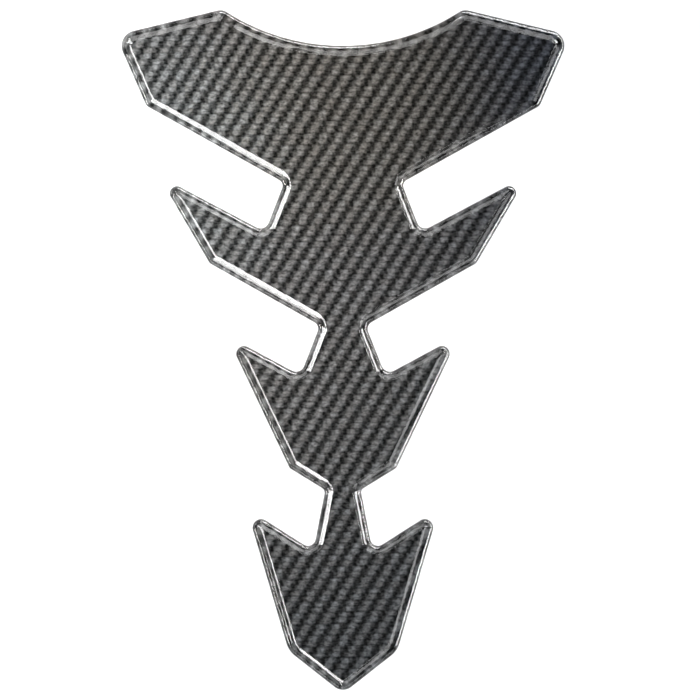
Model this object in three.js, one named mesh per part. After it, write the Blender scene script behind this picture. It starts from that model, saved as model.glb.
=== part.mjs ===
// Fishbone tank pad for a motorcycle's fuel tank, lying flat on its adhesive back.
//
// It has two pieces: a printed film in the shape of a tapering fishbone, with a
// concave top edge and three pairs of notches, and a clear resin coat that is
// poured on the film and sets with a raised bead along its whole edge.
//
// Millimetres. X is across the pad, Y runs from the tail to the top, and Z is up,
// out of the tank. The origin is at the middle of the outline's box, on the back.

import * as THREE from 'three';

// Driving dimensions
const filmThickness = 0.3;
const resinThickness = 1.15;  // clear coat over the flat middle
const beadRise = 0.75;        // how far the bead stands above the flat middle
const beadCrestInset = 1.2;   // from the outline to the top of the bead
const beadInset = 3.4;        // from the outline to where the flat middle starts
const sharpestRound = 0.35;   // least radius of an inner line of the coat at a tip

// The concave top edge is an arc about a point above the pad.
const topArcRadius = 70.1;
const topArcCentreY = 168.65;
const topArcSteps = 22;

// Corners of the right half, from the top edge's end down to the tail, where the
// straight edges would meet, with the radius that rounds each corner.
const corners = [
  { name: 'horn', x: 39.0, y: 110.4, round: 3.8 },
  { name: 'shoulder', x: 73.7, y: 102.0, round: 5.0 },
  { name: 'shoulder foot', x: 63.7, y: 79.1, round: 2.0 },
  { name: 'first notch, upper', x: 19.1, y: 54.2, round: 2.1 },
  { name: 'first notch, lower', x: 25.25, y: 38.4, round: 2.8 },
  { name: 'upper wing tip', x: 60.1, y: 56.9, round: 2.4 },
  { name: 'upper wing foot', x: 43.2, y: 28.1, round: 0.9 },
  { name: 'second notch, upper', x: 7.5, y: 8.0, round: 2.4 },
  { name: 'second notch, lower', x: 13.8, y: -8.05, round: 2.8 },
  { name: 'lower wing tip', x: 37.8, y: 4.9, round: 2.6 },
  { name: 'lower wing foot', x: 17.3, y: -38.2, round: 0.9 },
  { name: 'third notch, upper', x: 5.8, y: -45.3, round: 1.8 },
  { name: 'third notch, lower', x: 9.6, y: -64.9, round: 2.5 },
  { name: 'arrow tip', x: 31.3, y: -51.1, round: 2.8 },
  { name: 'arrow foot', x: 17.6, y: -97.4, round: 8.0 },
  { name: 'tail', x: 0, y: -111.2, round: 4.4 },
];

// Fineness of the curved stretches
const degreesPerRoundStep = 18;
const flankSteps = 5;         // from the outline up to the bead's crest
const inwardSteps = 5;        // from the crest down to the flat middle

/** The outline's sharp corners, once round the pad anticlockwise from its tail. */
function sharpOutline() {
  const horn = corners[0];
  const halfSpan = Math.asin(horn.x / topArcRadius);
  const topArc = [];
  for (let step = 1; step < topArcSteps; step++) {
    const angle = halfSpan * (1 - (2 * step) / topArcSteps);
    topArc.push({
      x: topArcRadius * Math.sin(angle),
      y: topArcCentreY - topArcRadius * Math.cos(angle),
      round: 0,
    });
  }
  const rightSide = corners.slice().reverse();
  const leftSide = corners.slice(0, -1).map((corner) => ({ ...corner, x: -corner.x }));
  return [...rightSide, ...topArc, ...leftSide];
}

/** Unit direction of the edge from one point to the next. */
function direction(from, to) {
  return new THREE.Vector2(to.x - from.x, to.y - from.y).normalize();
}

/**
 * The outline moved into the pad by `inset`, with its corners rounded. Every
 * inset gives the same number of points, so that two of them can be joined.
 */
function roundedOutline(inset) {
  const sharp = sharpOutline();
  const points = [];
  sharp.forEach((corner, index) => {
    const before = sharp[(index + sharp.length - 1) % sharp.length];
    const after = sharp[(index + 1) % sharp.length];
    const arriving = direction(before, corner);
    const leaving = direction(corner, after);
    const turn = Math.atan2(arriving.cross(leaving), arriving.dot(leaving));
    const inwards = new THREE.Vector2(-arriving.y - leaving.y, arriving.x + leaving.x);
    inwards.divideScalar(1 + arriving.dot(leaving));
    const meeting = new THREE.Vector2(corner.x, corner.y).addScaledVector(inwards, inset);
    if (corner.round === 0) {
      points.push(meeting);
      return;
    }
    const bend = turn > 0 ? corner.round - inset : corner.round + inset;
    const radius = Math.max(bend, sharpestRound);
    const reach = radius * Math.tan(Math.abs(turn) / 2);
    const start = meeting.clone().addScaledVector(arriving, -reach);
    const side = Math.sign(turn);
    const centre = start.clone().add(
      new THREE.Vector2(-arriving.y, arriving.x).multiplyScalar(side * radius),
    );
    const steps = Math.max(2, Math.ceil(THREE.MathUtils.radToDeg(Math.abs(turn)) / degreesPerRoundStep));
    for (let step = 0; step <= steps; step++) {
      points.push(start.clone().rotateAround(centre, (turn * step) / steps));
    }
  });
  return points;
}

/** Height that centres the outline's box on the origin. */
function middleHeight(points) {
  const heights = points.map((point) => point.y);
  return (Math.max(...heights) + Math.min(...heights)) / 2;
}

/**
 * Section through the coat's edge, as insets from the outline and heights above
 * the film: a quarter ellipse up to the bead's crest, then a circular arc that
 * steepens down to the flat middle and meets it in a crease.
 */
function coatSection() {
  const crestHeight = resinThickness + beadRise;
  const section = [];
  for (let step = 0; step <= flankSteps; step++) {
    const angle = ((Math.PI / 2) * step) / flankSteps;
    section.push({
      inset: beadCrestInset * (1 - Math.cos(angle)),
      height: crestHeight * Math.sin(angle),
    });
  }
  const width = beadInset - beadCrestInset;
  const arcRadius = (width ** 2 + beadRise ** 2) / (2 * beadRise);
  for (let step = 1; step <= inwardSteps; step++) {
    const inwards = (width * step) / inwardSteps;
    section.push({
      inset: beadCrestInset + inwards,
      height: crestHeight - arcRadius + Math.sqrt(arcRadius ** 2 - inwards ** 2),
    });
  }
  return section;
}

/** Closed surface through rings of equal length, with a flat face on each end. */
function joinRings(rings) {
  const count = rings[0].length;
  const positions = rings.flat().flatMap((point) => [point.x, point.y, point.z]);
  const faces = [];
  for (let ring = 0; ring + 1 < rings.length; ring++) {
    for (let index = 0; index < count; index++) {
      const next = (index + 1) % count;
      const [a, b] = [ring * count + index, ring * count + next];
      faces.push(a, b, b + count, a, b + count, a + count);
    }
  }
  const bottom = THREE.ShapeUtils.triangulateShape(rings[0], []);
  const top = THREE.ShapeUtils.triangulateShape(rings.at(-1), []);
  const topStart = (rings.length - 1) * count;
  bottom.forEach(([a, b, c]) => faces.push(a, c, b));
  top.forEach(([a, b, c]) => faces.push(topStart + a, topStart + b, topStart + c));
  const geometry = new THREE.BufferGeometry();
  geometry.setAttribute('position', new THREE.Float32BufferAttribute(positions, 3));
  geometry.setIndex(faces);
  geometry.computeVertexNormals();
  return geometry;
}

/** Die-cut film that carries the carbon-look print. */
function printedFilm() {
  const shape = new THREE.Shape(roundedOutline(0));
  const geometry = new THREE.ExtrudeGeometry(shape, { depth: filmThickness, bevelEnabled: false });
  const material = new THREE.MeshStandardMaterial({
    color: new THREE.Color(0.11, 0.11, 0.11),
    roughness: 0.45,
    metalness: 0,
  });
  const mesh = new THREE.Mesh(geometry, material);
  mesh.name = 'printed_film';
  return mesh;
}

/** Clear coat, pinned to the film's edge and thicker along it. */
function resinDome() {
  const rings = coatSection().map(({ inset, height }) =>
    roundedOutline(inset).map((point) => new THREE.Vector3(point.x, point.y, filmThickness + height)));
  const material = new THREE.MeshStandardMaterial({
    color: new THREE.Color(0.95, 0.96, 0.96),
    roughness: 0.05,
    metalness: 0,
    transparent: true,
    opacity: 0.3,
  });
  const mesh = new THREE.Mesh(joinRings(rings), material);
  mesh.name = 'resin_dome';
  return mesh;
}

const tankPad = new THREE.Group();
tankPad.add(printedFilm(), resinDome());
tankPad.position.y = -middleHeight(roundedOutline(0));

export default tankPad;
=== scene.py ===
import bpy
import numpy as np
from mathutils import Matrix, Vector


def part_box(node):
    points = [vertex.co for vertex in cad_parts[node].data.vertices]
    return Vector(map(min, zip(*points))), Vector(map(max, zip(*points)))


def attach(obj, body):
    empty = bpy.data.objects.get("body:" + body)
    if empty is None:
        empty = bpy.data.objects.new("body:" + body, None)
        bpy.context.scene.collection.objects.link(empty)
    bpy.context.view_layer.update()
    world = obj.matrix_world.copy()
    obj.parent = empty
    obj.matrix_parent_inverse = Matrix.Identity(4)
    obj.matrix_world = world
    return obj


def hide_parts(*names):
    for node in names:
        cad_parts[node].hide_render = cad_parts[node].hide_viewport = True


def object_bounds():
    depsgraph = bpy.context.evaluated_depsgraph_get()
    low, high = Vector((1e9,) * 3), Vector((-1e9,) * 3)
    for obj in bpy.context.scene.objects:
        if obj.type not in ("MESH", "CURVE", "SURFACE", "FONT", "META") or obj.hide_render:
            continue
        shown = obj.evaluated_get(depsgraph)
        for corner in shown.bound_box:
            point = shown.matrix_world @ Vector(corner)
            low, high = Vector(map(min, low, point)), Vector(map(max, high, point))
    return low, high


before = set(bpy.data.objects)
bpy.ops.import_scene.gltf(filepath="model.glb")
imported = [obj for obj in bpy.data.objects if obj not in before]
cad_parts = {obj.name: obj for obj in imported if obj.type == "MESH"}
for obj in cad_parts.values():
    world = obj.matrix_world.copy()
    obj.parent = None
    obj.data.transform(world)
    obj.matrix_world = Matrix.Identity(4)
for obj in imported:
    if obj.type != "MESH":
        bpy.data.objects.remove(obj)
cadLow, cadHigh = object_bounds()
mm = 0.001
filmLow, filmHigh = (np.array(corner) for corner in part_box("printed_film"))
resinHigh = np.array(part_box("resin_dome")[1])
sharpFrom = 50                   # degrees between two faces that meet in a hard edge
print("frame loaded, pad is", np.round((resinHigh - filmLow) / mm, 1), "mm")


outline = {
    # Right half, horn to tail: x and y where the edges meet and the rounding, mm, and
    # 1 where the edge that follows lies in a slot, with a narrower bead.
    "corners": [
        (39.0, 110.4, 3.8, 0),       # horn
        (73.7, 102.0, 5.0, 0),       # shoulder
        (63.7, 79.1, 2.0, 0),
        (19.1, 54.2, 2.1, 1),        # first slot
        (25.25, 38.4, 2.8, 1),
        (60.1, 56.9, 2.4, 0),        # upper wing
        (43.2, 28.1, 0.9, 0),
        (7.5, 8.0, 2.4, 1),          # second slot
        (13.8, -8.05, 2.8, 1),
        (37.8, 4.9, 2.6, 0),         # lower wing
        (17.3, -38.2, 0.9, 0),
        (5.8, -45.3, 1.8, 1),        # third slot
        (9.6, -64.9, 2.5, 1),
        (31.3, -51.1, 2.8, 0),       # arrow
        (17.6, -97.4, 8.0, 0),
        (0.0, -111.2, 4.4, 0),       # tail
    ],
    "topArcRadius": 70.1,        # the hollow top edge
    "topArcCentreY": 168.65,
    "topArcSteps": 60,
    "roundSteps": 14,            # steps round each corner
    "spacing": 1.2,              # longest step on a straight edge, mm
    "sharpestRound": 0.35,       # least radius of an inner line at a tip, mm
}


# Corners once round the pad, anticlockwise from the tail: right half, then points on a
# circle about the arc's centre, then the left half as a mirror image. Columns x, y,
# radius, and the slot mark of the edge that leaves the corner.
def sharpOutline(o):
    corners = np.array(o["corners"])
    corners[:, :3] *= mm
    radius = o["topArcRadius"] * mm
    halfSpan = np.arcsin(corners[0, 0] / radius)
    angle = np.linspace(halfSpan, -halfSpan, o["topArcSteps"] + 1)[1:-1]
    arcY = o["topArcCentreY"] * mm - radius * np.cos(angle)
    arc = np.stack([radius * np.sin(angle), arcY, 0 * angle, 0 * angle], axis=1)
    right = corners[::-1].copy()
    right[:, 3] = np.r_[corners[:-1, 3][::-1], 0]
    return np.vstack([right, arc, corners[:-1] * (-1, 1, 1, 1)])


# Outline moved inwards by one inset on open edges and another in the slots: each corner
# moves to where its two moved edges meet, then turns into an arc of radius round - inset
# where the outline bulges, or round + inset in a notch. Columns x, y, share of slot.
def cornerRing(o, openInset, slotInset):
    sharp = sharpOutline(o)
    point, rounding, leavingSlot = sharp[:, :2], sharp[:, 2], sharp[:, 3]
    leaving = np.roll(point, -1, axis=0) - point
    leaving /= np.linalg.norm(leaving, axis=1, keepdims=True)
    arriving = np.roll(leaving, 1, axis=0)
    arrivingSlot = np.roll(leavingSlot, 1)
    crossed = arriving[:, 0] * leaving[:, 1] - arriving[:, 1] * leaving[:, 0]
    along = (arriving * leaving).sum(axis=1)
    turn = np.arctan2(crossed, along)
    inset = openInset + (slotInset - openInset) * (arrivingSlot + leavingSlot) / 2
    unequal = (slotInset - openInset) * (arrivingSlot - leavingSlot) / 2
    normals = np.stack([-arriving[:, 1] - leaving[:, 1], arriving[:, 0] + leaving[:, 0]], axis=1)
    meeting = point + normals * (inset / (1 + along))[:, None]
    meeting += (arriving + leaving) * (unequal / crossed)[:, None]
    bend = rounding - np.sign(turn) * inset
    radius = np.maximum(bend, o["sharpestRound"] * mm) * (rounding > 0)
    start = meeting - arriving * (radius * np.tan(np.abs(turn) / 2))[:, None]
    leftOf = np.stack([-arriving[:, 1], arriving[:, 0]], axis=1)
    centre = start + leftOf * (np.sign(turn) * radius)[:, None]
    step = np.arange(o["roundSteps"] + 1) / o["roundSteps"]
    angle = turn[:, None] * step
    spoke = (start - centre)[:, None, :]
    fanX = spoke[..., 0] * np.cos(angle) - spoke[..., 1] * np.sin(angle)
    fanY = spoke[..., 0] * np.sin(angle) + spoke[..., 1] * np.cos(angle)
    slot = arrivingSlot[:, None] * (1 - step) + leavingSlot[:, None] * step
    fan = np.stack([centre[:, :1] + fanX, centre[:, 1:] + fanY, slot], axis=2)
    kept = (rounding > 0)[:, None] | (step == 0)[None, :]
    return fan[kept]


# Rings at several insets, all with the same points along: each straight stretch is cut
# into equal parts no longer than the spacing, by straight blending of its two ends.
def outlineRings(o, openInsets, slotInsets):
    rings = np.stack([cornerRing(o, *pair) for pair in zip(openInsets, slotInsets)])
    outer = cornerRing(o, 0.0, 0.0)[:, :2]
    length = np.linalg.norm(np.roll(outer, -1, axis=0) - outer, axis=1)
    parts = np.maximum(1, np.ceil(length / (o["spacing"] * mm))).astype(int)
    first = np.repeat(np.arange(len(outer)), parts)
    share = (np.arange(parts.sum()) - np.repeat(np.cumsum(parts) - parts, parts)) / parts[first]
    after = (first + 1) % len(outer)
    rings = rings[:, first] * (1 - share)[:, None] + rings[:, after] * share[:, None]
    middle = (outer.max(axis=0) + outer.min(axis=0)) / 2
    rings[..., :2] += (filmLow[:2] + filmHigh[:2]) / 2 - middle
    return rings


# Closed skin through rings of equal length: a quad between each pair of neighbours on
# each pair of rings, and one flat face on each end.
def meshFromRings(name, rings):
    levels, count = rings.shape[:2]
    here = np.arange(levels * count).reshape(levels, count)
    beside = np.roll(here, -1, axis=1)
    quads = np.stack([here[:-1], beside[:-1], beside[1:], here[1:]], axis=2).reshape(-1, 4)
    faces = quads.tolist() + [here[0, ::-1].tolist(), here[-1].tolist()]
    mesh = bpy.data.meshes.new(name)
    mesh.from_pydata(rings.reshape(-1, 3).tolist(), [], faces)
    mesh.polygons.foreach_set("use_smooth", np.ones(len(mesh.polygons), bool))
    mesh.set_sharp_from_angle(angle=np.radians(sharpFrom))
    mesh.update()
    piece = bpy.data.objects.new(name, mesh)
    bpy.context.scene.collection.objects.link(piece)
    return piece


def newMaterial(name):
    material = bpy.data.materials.new(name)
    material.use_nodes = True
    material.node_tree.nodes.clear()
    return material, material.node_tree


def addNode(tree, kind, inputs=None, **settings):
    node = tree.nodes.new(kind)
    for key, value in settings.items():
        setattr(node, key, value)
    for key, value in (inputs or {}).items():
        if isinstance(value, bpy.types.NodeSocket):
            tree.links.new(value, node.inputs[key])
        else:
            node.inputs[key].default_value = value
    return node


def calc(tree, operation, *values):
    node = addNode(tree, "ShaderNodeMath", dict(enumerate(values)), operation=operation)
    return node.outputs[0]


def valueRamp(tree, factor, stops):
    node = addNode(tree, "ShaderNodeValToRGB", {"Fac": factor})
    elements = node.color_ramp.elements
    while len(elements) < len(stops):
        elements.new(1.0)
    for element, (position, value) in zip(elements, stops):
        element.position = position
        element.color = (value, value, value, 1)
    return node.outputs["Color"]


def shaderGroup(name, sockets):
    tree = bpy.data.node_groups.new(name, "ShaderNodeTree")
    for label, direction, kind, default in sockets:
        socket = tree.interface.new_socket(name=label, in_out=direction, socket_type=kind)
        if default is not None:
            socket.default_value = default
    return tree, tree.nodes.new("NodeGroupInput").outputs, tree.nodes.new("NodeGroupOutput").inputs


twill = {
    "columnWidth": 1.264,        # one upright tow, mm
    "rowHeight": 1.849,          # one level tow, mm
    "columnTurn": 2.344,         # degrees that the weave is turned on the pad
    "rowTurn": 2.109,
    "columnStart": -0.123,       # where the repeat starts, in tows
    "rowStart": 1.843,
    "towsInRepeat": 4,
    "towShift": 0.08,            # how late a tow starts past its even share, in tows
    "towSoft": 0.25,             # half the soft step between two tows, in tows
    # Tone of each tow: black where it dives, pale where it lies on top
    "evenRow": (0.35, 1.2, 2.2, 1.6),
    "oddRow": (1.2, 0.35, 1.7, 2.35),
    "evenEnd": 0.33,             # how much darker a tow is at its ends
    "evenMiddle": 0.08,          # where along it a tow is brightest, in rows
    "oddEnd": 0.40,
    "oddMiddle": -0.02,
    "rowBlend": 0.30,            # half the soft step between two rows, in rows
    "groove": 0.39,              # depth of the dark diagonal through the black tows
    "grooveFrom": -0.98,         # its two sides, in tows
    "grooveTo": 1.08,
    "grooveSoft": 0.30,
    "deepestEnd": 0.6,           # most that a tow's end is darkened
    "towVariation": 0.24,        # spread of tone from tow to tow
    "fibreScale": (850.0, 1350.0, 1.0),     # fibres to the metre across and along
    "fibreGlint": 2.2,           # fibres' contrast on pale tows, and on black ones
    "fibreGlintLeast": 0.9,
    "darkest": 0.03,
    "ink": 0.105,                # mean reflectance of the print
    "warmInk": (1.02, 1.0, 0.98),           # the ink's hue varies from tow to tow
    "coolInk": (0.98, 1.0, 1.01),
}


# Stops of a ramp across one repeat: each tow holds its tone between two soft steps, and
# the repeat's two ends share the mean of the last tow and the first.
def towStops(t, tones):
    tows = t["towsInRepeat"]
    seam = (tones[0] + tones[-1]) / 2
    stops = [(0.0, seam)]
    for index, tone in enumerate(tones):
        start = index + (t["towShift"] if index else 0)
        end = index + 1 + (t["towShift"] if index + 1 < tows else 0)
        stops += [((start + t["towSoft"]) / tows, tone), ((end - t["towSoft"]) / tows, tone)]
    return stops + [(1.0, seam)]


# Each point gets a column number u and a row number v. Even rows and odd rows have a
# repeat of four tows each, moved on by one tow with each row, which makes the diagonal.
# A row is brightest along its middle, and a dark groove follows the diagonal u = v.
def twillGroup(t):
    tree, given, result = shaderGroup("twillPrint", [
        ("Vector", "INPUT", "NodeSocketVector", None),
        ("Tone", "OUTPUT", "NodeSocketFloat", None),
        ("Tint", "OUTPUT", "NodeSocketFloat", None),
    ])
    columnAngle, rowAngle = np.radians(t["columnTurn"]), np.radians(t["rowTurn"])
    across = np.array([np.cos(columnAngle), np.sin(columnAngle), 0]) / (t["columnWidth"] * mm)
    upward = np.array([-np.sin(rowAngle), np.cos(rowAngle), 0]) / (t["rowHeight"] * mm)

    def along(direction, start):
        dot = addNode(tree, "ShaderNodeVectorMath", {0: given["Vector"], 1: direction},
                      operation="DOT_PRODUCT")
        return calc(tree, "ADD", dot.outputs["Value"], start)

    def smoothStep(value, low, high):
        return addNode(tree, "ShaderNodeMapRange", {
            "Value": value, "From Min": low, "From Max": high,
        }, interpolation_type="SMOOTHSTEP").outputs["Result"]

    tows = float(t["towsInRepeat"])
    u = along(across, t["columnStart"])
    v = calc(tree, "SUBTRACT", along(upward, t["rowStart"]), 0.5)
    halved = calc(tree, "MULTIPLY", v, 0.5)
    evenRow = calc(tree, "MULTIPLY", calc(tree, "ROUND", halved), 2.0)
    rowBelow = calc(tree, "MULTIPLY", calc(tree, "FLOOR", halved), 2.0)
    rows = {
        "even": (evenRow, evenRow),
        "odd": (rowBelow, calc(tree, "ADD", rowBelow, 1.0)),
    }
    toneOf = {}
    for label, (shift, centre) in rows.items():
        place = calc(tree, "FLOORED_MODULO", calc(tree, "SUBTRACT", u, shift), tows)
        share = calc(tree, "DIVIDE", place, tows)
        tone = valueRamp(tree, share, towStops(t, t[label + "Row"]))
        offset = calc(tree, "SUBTRACT", calc(tree, "SUBTRACT", v, centre), t[label + "Middle"])
        # A tow's end lies half a row from its middle, where four times the square is one
        fall = calc(tree, "MULTIPLY", calc(tree, "MULTIPLY", offset, offset), 4 * t[label + "End"])
        lit = calc(tree, "SUBTRACT", 1.0, calc(tree, "MINIMUM", fall, t["deepestEnd"]))
        toneOf[label] = calc(tree, "MULTIPLY", tone, lit)
    fromEven = calc(tree, "ABSOLUTE", calc(tree, "SUBTRACT", v, evenRow))
    tone = addNode(tree, "ShaderNodeMix", {
        "Factor": smoothStep(fromEven, 0.5 - t["rowBlend"], 0.5 + t["rowBlend"]),
        "A": toneOf["even"], "B": toneOf["odd"],
    }, data_type="FLOAT").outputs["Result"]
    diagonal = calc(tree, "SUBTRACT", u, calc(tree, "ADD", v, 0.5))
    moved = calc(tree, "FLOORED_MODULO", calc(tree, "ADD", diagonal, tows / 2), tows)
    wrapped = calc(tree, "SUBTRACT", moved, tows / 2)
    soft = t["grooveSoft"]
    inGroove = calc(
        tree, "MULTIPLY",
        smoothStep(wrapped, t["grooveFrom"] - soft, t["grooveFrom"] + soft),
        smoothStep(calc(tree, "MULTIPLY", wrapped, -1.0), -t["grooveTo"] - soft, soft - t["grooveTo"]))
    grooved = calc(tree, "MULTIPLY", tone,
                   calc(tree, "SUBTRACT", 1.0, calc(tree, "MULTIPLY", inGroove, t["groove"])))

    cell = addNode(tree, "ShaderNodeCombineXYZ", {
        "X": calc(tree, "FLOOR", calc(tree, "MULTIPLY", u, 0.5)), "Y": calc(tree, "ROUND", v),
    })
    lots = addNode(tree, "ShaderNodeTexWhiteNoise", {"Vector": cell.outputs[0]},
                   noise_dimensions="3D")
    fibres = addNode(tree, "ShaderNodeTexNoise", {
        "Vector": addNode(tree, "ShaderNodeVectorMath", {
            0: given["Vector"], 1: t["fibreScale"],
        }, operation="MULTIPLY").outputs[0],
        "Scale": 1.0, "Detail": 1.5, "Roughness": 0.6,
    })
    centred = calc(tree, "SUBTRACT", fibres.outputs["Fac"], 0.5)
    spread = t["towVariation"]
    varied = calc(tree, "MULTIPLY_ADD", lots.outputs["Value"], spread, 1 - spread / 2)
    uneven = calc(tree, "MULTIPLY", grooved, varied)
    contrast = calc(tree, "MULTIPLY_ADD", uneven, t["fibreGlint"], t["fibreGlintLeast"])
    tone = calc(tree, "ADD", uneven, calc(tree, "MULTIPLY", centred, contrast))
    tree.links.new(calc(tree, "MAXIMUM", tone, t["darkest"]), result["Tone"])
    tree.links.new(lots.outputs["Value"], result["Tint"])
    return tree


def printMaterial(t):
    material, tree = newMaterial("carbonLookPrint")
    place = addNode(tree, "ShaderNodeTexCoord").outputs["Object"]
    weave = addNode(tree, "ShaderNodeGroup", node_tree=twillGroup(t))
    tree.links.new(place, weave.inputs["Vector"])
    warm, cool = ((*(t["ink"] * part for part in t[key]), 1) for key in ("warmInk", "coolInk"))
    tint = addNode(tree, "ShaderNodeMix", {
        "Factor": weave.outputs["Tint"], "A": warm, "B": cool,
    }, data_type="RGBA").outputs["Result"]
    scaled = addNode(tree, "ShaderNodeVectorMath", {
        0: tint, "Scale": weave.outputs["Tone"],
    }, operation="SCALE").outputs[0]
    surface = addNode(tree, "ShaderNodeBsdfPrincipled", {
        "Base Color": scaled, "Roughness": 0.5, "Specular IOR Level": 0.0,
    })
    output = addNode(tree, "ShaderNodeOutputMaterial")
    tree.links.new(surface.outputs[0], output.inputs["Surface"])
    return material


film = {
    "trim": 0.05,                # the film stops this far inside the coat, mm
    "backGrain": 1400.0,         # grains to the metre on the adhesive and on the cut edge
    "edgeGrain": 2500.0,
    "backShade": [(0.3, 0.60), (0.7, 0.70)],     # reflectance, by the grain
    "edgeShade": [(0.3, 0.05), (0.7, 0.08)],
    "backBump": 0.2,
    "backDepth": 0.1,            # depth of the adhesive's grain, mm
}


def backMaterial(f):
    material, tree = newMaterial("adhesiveBack")
    place = addNode(tree, "ShaderNodeTexCoord").outputs["Object"]
    grain = addNode(tree, "ShaderNodeTexNoise", {
        "Vector": place, "Scale": f["backGrain"], "Detail": 3.0,
    }).outputs["Fac"]
    shade = valueRamp(tree, grain, f["backShade"])
    bump = addNode(tree, "ShaderNodeBump", {
        "Height": grain, "Strength": f["backBump"], "Distance": f["backDepth"] * mm,
    })
    surface = addNode(tree, "ShaderNodeBsdfPrincipled", {
        "Base Color": shade, "Roughness": 0.35, "Normal": bump.outputs[0],
    })
    output = addNode(tree, "ShaderNodeOutputMaterial")
    tree.links.new(surface.outputs[0], output.inputs["Surface"])
    return material


def edgeMaterial(f):
    material, tree = newMaterial("vinylEdge")
    place = addNode(tree, "ShaderNodeTexCoord").outputs["Object"]
    grain = addNode(tree, "ShaderNodeTexNoise", {
        "Vector": place, "Scale": f["edgeGrain"], "Detail": 2.0,
    }).outputs["Fac"]
    surface = addNode(tree, "ShaderNodeBsdfPrincipled", {
        "Base Color": valueRamp(tree, grain, f["edgeShade"]), "Roughness": 0.5,
    })
    output = addNode(tree, "ShaderNodeOutputMaterial")
    tree.links.new(surface.outputs[0], output.inputs["Surface"])
    return material


coat = {
    "flat": 0.97,                # coat over the print in the middle, mm
    # The bead's section: crest, steepest place and foot, mm from the outline; tilt at the
    # outline and at the steepest place, degrees; powers of the tilt's rise and its fall
    "open": {"crest": 1.235, "steepest": 2.94, "foot": 3.40, "edgeTilt": 73.2,
             "slopeTilt": 34.4, "growth": 0.55, "decay": 2.8},
    "slot": {"crest": 1.18, "steepest": 2.60, "foot": 2.88, "edgeTilt": 81.5,
             "slopeTilt": 32.6, "growth": 0.50, "decay": 1.6},
    "overlap": 0.02,             # how far the coat reaches below the print, mm
    "flankSteps": 14,
    "inwardSteps": 16,
    "footSteps": 10,
    "samples": 4001,             # places where the section's slope is summed
    "index": 1.49,
    "tint": (0.985, 0.99, 0.99, 1),
    "lampsThrough": (0.95, 0.95, 0.95, 1),
    "waveScale": 90.0,           # faint waves of the poured surface, to the metre
    "waveBump": 0.07,
    "waveDepth": 0.5,            # mm
    "gloss": [(0.3, 0.02), (0.7, 0.04)],     # roughness, by the waves
}


# Straight wall along the outline, from the adhesive up to the print, with flat ends.
def makeFilm(f):
    ring = outlineRings(outline, [f["trim"] * mm], [f["trim"] * mm])[0, :, :2]
    heights = np.array([filmLow[2], filmHigh[2]])
    rings = np.concatenate([
        np.broadcast_to(ring, (2, *ring.shape)),
        np.broadcast_to(heights[:, None, None], (2, len(ring), 1)),
    ], axis=2)
    piece = meshFromRings("printedFilm", rings)
    for material in (edgeMaterial(f), backMaterial(f), printMaterial(twill)):
        piece.data.materials.append(material)
    sides = len(ring)
    slots = np.r_[np.zeros(sides), 1, 2].astype(np.int32)
    piece.data.polygons.foreach_set("material_index", slots)
    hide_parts("printed_film")
    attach(piece, "root")
    return piece


# Section of the coat's edge, as insets and heights. The tilt falls evenly from the outline
# to the crest, then turns inwards as share ** growth up to the steepest place, and dies away
# to the foot as 1 - share ** decay. The height is the running sum of the tilt's tangent,
# and what is left below it stands upright along the outline.
def beadSection(c, bead):
    crest, steepest, foot = (bead[key] * mm for key in ("crest", "steepest", "foot"))
    fine = np.linspace(0, foot, c["samples"])
    outwards = bead["edgeTilt"] * np.clip(1 - fine / crest, 0, 1)
    growing = np.clip((fine - crest) / (steepest - crest), 0, 1) ** bead["growth"]
    dying = 1 - np.clip((fine - steepest) / (foot - steepest), 0, 1) ** bead["decay"]
    slope = np.tan(np.radians(outwards - bead["slopeTilt"] * growing * dying))
    height = np.r_[0, np.cumsum((slope[1:] + slope[:-1]) / 2 * np.diff(fine))]
    height += c["flat"] * mm - height[-1]
    angle = np.linspace(0, np.pi / 2, c["flankSteps"] + 1)
    insets = np.r_[
        crest * (1 - np.cos(angle)),
        np.linspace(crest, steepest, c["inwardSteps"] + 1)[1:],
        np.linspace(steepest, foot, c["footSteps"] + 1)[1:],
    ]
    return np.r_[0, insets], np.r_[-c["overlap"] * mm, np.interp(insets, fine, height)]


# Clear glass for the camera and for reflections. Lamps pass straight through it to the
# print, and so does the light that the print itself gathers from around the pad.
def resinMaterial(c):
    material, tree = newMaterial("clearResin")
    place = addNode(tree, "ShaderNodeTexCoord").outputs["Object"]
    waves = addNode(tree, "ShaderNodeTexNoise", {
        "Vector": place, "Scale": c["waveScale"], "Detail": 1.0,
    }).outputs["Fac"]
    bump = addNode(tree, "ShaderNodeBump", {
        "Height": waves, "Strength": c["waveBump"], "Distance": c["waveDepth"] * mm,
    })
    gloss = valueRamp(tree, waves, c["gloss"])
    glass = addNode(tree, "ShaderNodeBsdfPrincipled", {
        "Base Color": c["tint"], "Roughness": gloss, "IOR": c["index"],
        "Transmission Weight": 1.0, "Normal": bump.outputs[0],
    })
    clear = addNode(tree, "ShaderNodeBsdfTransparent", {"Color": c["lampsThrough"]})
    path = addNode(tree, "ShaderNodeLightPath")
    seen = addNode(tree, "ShaderNodeMixShader", {
        0: path.outputs["Is Diffuse Ray"], 1: glass.outputs[0], 2: clear.outputs[0],
    })
    mixed = addNode(tree, "ShaderNodeMixShader", {
        0: path.outputs["Is Shadow Ray"], 1: seen.outputs[0], 2: clear.outputs[0],
    })
    output = addNode(tree, "ShaderNodeOutputMaterial")
    tree.links.new(mixed.outputs[0], output.inputs["Surface"])
    return material


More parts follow.
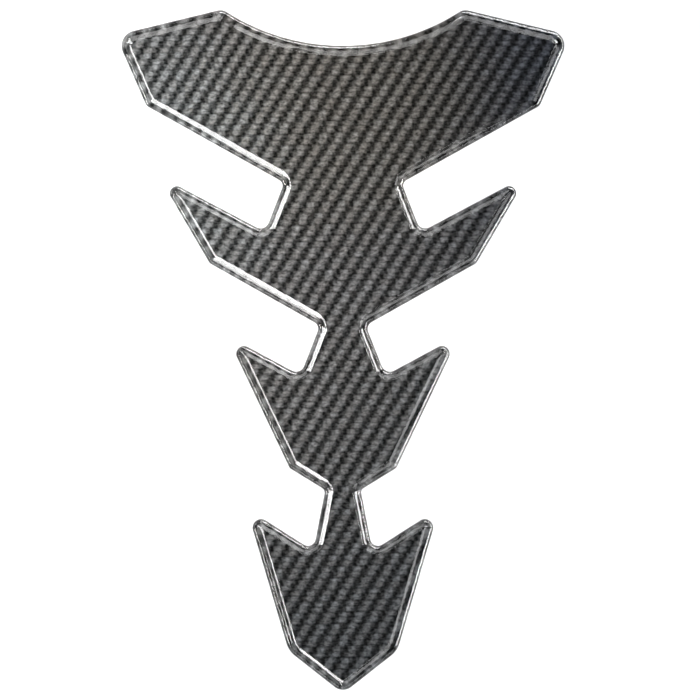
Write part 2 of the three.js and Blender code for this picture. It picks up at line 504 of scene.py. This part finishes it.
# Rings of the outline at the section's insets. Heights blend from the open edges' section
# to the slots' by each point's share of slot.
def makeCoat(c):
    openInsets, openHeights = beadSection(c, c["open"])
    slotInsets, slotHeights = beadSection(c, c["slot"])
    rings = outlineRings(outline, openInsets, slotInsets)
    slot = rings[..., 2]
    rings[..., 2] = filmHigh[2] + openHeights[:, None] * (1 - slot) + slotHeights[:, None] * slot
    piece = meshFromRings("resinCoat", rings)
    piece.data.materials.append(resinMaterial(c))
    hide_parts("resin_dome")
    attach(piece, "root")
    return piece


filmPiece = makeFilm(film)
coatPiece = makeCoat(coat)
print("film", len(filmPiece.data.polygons), "faces, coat", len(coatPiece.data.polygons), "faces")


studio = {
    "floorSize": 3.0,
    "floorGap": 0.2,             # below the pad, mm
    "floorColour": (0.35, 0.35, 0.35, 1),
    "floorGlow": 1.0,            # what the floor adds for the camera and for reflections
    # World's brightness in reflections, by the height of the direction
    "sky": [(0.0, 0.5), (0.12, 0.85), (0.42, 0.60), (0.61, 0.35), (0.77, 0.08), (1.0, 0.08)],
    "fill": (0.055, 0.10, 0.18, 1),     # world's light on matt surfaces
}

# The lamps light matt surfaces and aren't seen in reflections: place and the point aimed
# at, metres, the full cone in degrees, and the lamp's own size. The panels are seen only
# as reflections in the coat:
# compass angle from +X and angle from straight up, degrees, size, metres, and brightness.
lamps = [
    {"name": "keyLamp", "place": (-0.17, 0.12, 1.2), "aim": (-0.135, 0.086, 0.0), "cone": 21.7,
     "size": 0.05, "power": 76.0, "colour": (1.0, 0.92, 0.845)},
    {"name": "cornerLamp", "place": (-0.12, 0.10, 1.2), "aim": (-0.080, 0.056, 0.0), "cone": 6.8,
     "size": 0.01, "power": 43.0, "colour": (0.82, 0.98, 1.0)},
    {"name": "lowerLamp", "place": (0.03, -0.08, 1.2), "aim": (0.007, -0.057, 0.0), "cone": 13.0,
     "size": 0.03, "power": 25.0, "colour": (1.0, 0.96, 0.85)},
    {"name": "warmLamp", "place": (0.02, 0.11, 1.2), "aim": (0.0, 0.083, 0.0), "cone": 5.5,
     "size": 0.01, "power": 8.5, "colour": (1.0, 0.70, 0.0)},
]
panels = [
    {"name": "panelRight", "compass": 341, "fromTop": 47, "size": (0.44, 0.72), "glow": 20.0},
    {"name": "panelUpperRight", "compass": 71, "fromTop": 62, "size": (0.86, 0.60), "glow": 19.0},
    {"name": "panelLowRight", "compass": 34, "fromTop": 71, "size": (1.10, 0.44), "glow": 15.3},
    {"name": "panelLowerLeft", "compass": 201, "fromTop": 44, "size": (0.40, 0.34), "glow": 22.5},
    {"name": "panelLowerLeftSide", "compass": 240, "fromTop": 54, "size": (0.32, 0.52), "glow": 6.0},
    {"name": "panelBelow", "compass": 285, "fromTop": 42, "size": (0.80, 0.62), "glow": 3.9},
    {"name": "panelAbove", "compass": 127, "fromTop": 45, "size": (0.49, 0.42), "glow": 4.0},
    {"name": "panelUpperLeft", "compass": 161, "fromTop": 67, "size": (0.44, 0.52), "glow": 5.0},
    {"name": "panelUpperLeftSide", "compass": 142, "fromTop": 73.7, "size": (0.17, 0.20), "glow": 9.0},
    {"name": "panelHighAbove", "compass": 67, "fromTop": 34, "size": (0.14, 0.46), "glow": 12.0},
    {"name": "panelRightSide", "compass": 9, "fromTop": 64, "size": (0.14, 0.20), "glow": 4.0},
    {"name": "panelHighRight", "compass": 44, "fromTop": 24, "size": (0.50, 0.36), "glow": 2.2},
    {"name": "panelFarRight", "compass": 348, "fromTop": 73, "size": (0.60, 0.42), "glow": 15.5},
]


# The plain shader, or the brighter one where the camera, a reflection or the glass looks.
def lightMix(tree, plain, reflected):
    path = addNode(tree, "ShaderNodeLightPath")
    seen = calc(tree, "MAXIMUM", path.outputs["Is Camera Ray"],
                calc(tree, "MAXIMUM", path.outputs["Is Glossy Ray"],
                     path.outputs["Is Transmission Ray"]))
    return addNode(tree, "ShaderNodeMixShader", {0: seen, 1: plain, 2: reflected}).outputs[0]


# One matt square under the pad, which also glows for the camera and in reflections, so
# that it looks white.
def makeFloor(s):
    half = s["floorSize"] / 2
    depth = cadLow[2] - s["floorGap"] * mm
    corners = [(-half, -half, depth), (half, -half, depth), (half, half, depth), (-half, half, depth)]
    mesh = bpy.data.meshes.new("floor")
    mesh.from_pydata(corners, [], [(0, 1, 2, 3)])
    floor = bpy.data.objects.new("floor", mesh)
    bpy.context.scene.collection.objects.link(floor)
    material, tree = newMaterial("floorWhite")
    matt = addNode(tree, "ShaderNodeBsdfDiffuse", {"Color": s["floorColour"]})
    glow = addNode(tree, "ShaderNodeEmission", {"Strength": s["floorGlow"]})
    both = addNode(tree, "ShaderNodeAddShader", {0: matt.outputs[0], 1: glow.outputs[0]})
    output = addNode(tree, "ShaderNodeOutputMaterial")
    tree.links.new(lightMix(tree, matt.outputs[0], both.outputs[0]), output.inputs["Surface"])
    mesh.materials.append(material)


# The camera sees a white world, also through the coat, and the coat reflects a darker one.
# The world isn't sampled as a lamp, so that the print under the coat gets the plain fill.
def makeWorld(s):
    world = bpy.data.worlds.new("studioWorld")
    bpy.context.scene.world = world
    world.use_nodes = True
    world.cycles.sampling_method = "NONE"
    tree = world.node_tree
    tree.nodes.clear()
    direction = addNode(tree, "ShaderNodeTexCoord").outputs["Generated"]
    height = addNode(tree, "ShaderNodeSeparateXYZ", {0: direction}).outputs["Z"]
    sky = valueRamp(tree, height, s["sky"])
    reflected = addNode(tree, "ShaderNodeBackground", {"Color": sky, "Strength": 1.0})
    plain = addNode(tree, "ShaderNodeBackground", {"Color": s["fill"], "Strength": 1.0})
    white = addNode(tree, "ShaderNodeBackground", {"Color": (1, 1, 1, 1), "Strength": 1.0})
    path = addNode(tree, "ShaderNodeLightPath")
    unseen = addNode(tree, "ShaderNodeMixShader", {
        0: path.outputs["Is Glossy Ray"], 1: plain.outputs[0], 2: reflected.outputs[0],
    })
    straight = calc(tree, "MAXIMUM", path.outputs["Is Camera Ray"],
                    path.outputs["Is Transmission Ray"])
    seen = addNode(tree, "ShaderNodeMixShader", {
        0: straight, 1: unseen.outputs[0], 2: white.outputs[0],
    })
    output = addNode(tree, "ShaderNodeOutputWorld")
    tree.links.new(seen.outputs[0], output.inputs["Surface"])


def placeLamp(name, data, place, aim, seenInGloss):
    piece = bpy.data.objects.new(name, data)
    turned = (aim - place).to_track_quat("-Z", "Y")
    piece.matrix_world = Matrix.LocRotScale(place, turned, None)
    piece.visible_camera = False
    piece.visible_glossy = seenInGloss
    piece.visible_diffuse = not seenInGloss
    piece.visible_transmission = False
    bpy.context.scene.collection.objects.link(piece)


def addSpot(lamp):
    data = bpy.data.lights.new(lamp["name"], "SPOT")
    data.energy = lamp["power"]
    data.color = lamp["colour"]
    data.shadow_soft_size = lamp["size"]
    data.spot_size = np.radians(lamp["cone"])
    data.spot_blend = 1.0
    placeLamp(lamp["name"], data, Vector(lamp["place"]), Vector(lamp["aim"]), False)


# A rectangle's brightness is its power shared over its area and pi.
def addPanel(p):
    data = bpy.data.lights.new(p["name"], "AREA")
    data.shape = "RECTANGLE"
    data.size, data.size_y = p["size"]
    data.energy = p["glow"] * np.pi * data.size * data.size_y
    compass, fromTop = np.radians(p["compass"]), np.radians(p["fromTop"])
    place = Vector((np.sin(fromTop) * np.cos(compass), np.sin(fromTop) * np.sin(compass),
                    np.cos(fromTop)))
    placeLamp(p["name"], data, place, Vector(), True)


makeFloor(studio)
makeWorld(studio)
for lamp in lamps:
    addSpot(lamp)
for panel in panels:
    addPanel(panel)
print("studio ready")


view = {
    "sensor": 36.0,              # mm
    "distance": 1.0,             # above the print, metres
    "framed": 0.2268,            # width of the picture on the print, metres
    "sideways": 0.0023,          # the pad lies a little left of the picture's middle
}


def makeCamera(v):
    data = bpy.data.cameras.new("camera")
    data.sensor_width = v["sensor"]
    data.lens = data.sensor_width * v["distance"] / v["framed"]
    piece = bpy.data.objects.new("camera", data)
    piece.location = (v["sideways"], 0.0, filmHigh[2] + v["distance"])
    bpy.context.scene.collection.objects.link(piece)
    bpy.context.scene.camera = piece


makeCamera(view)
bpy.context.scene.view_settings.view_transform = "Standard"
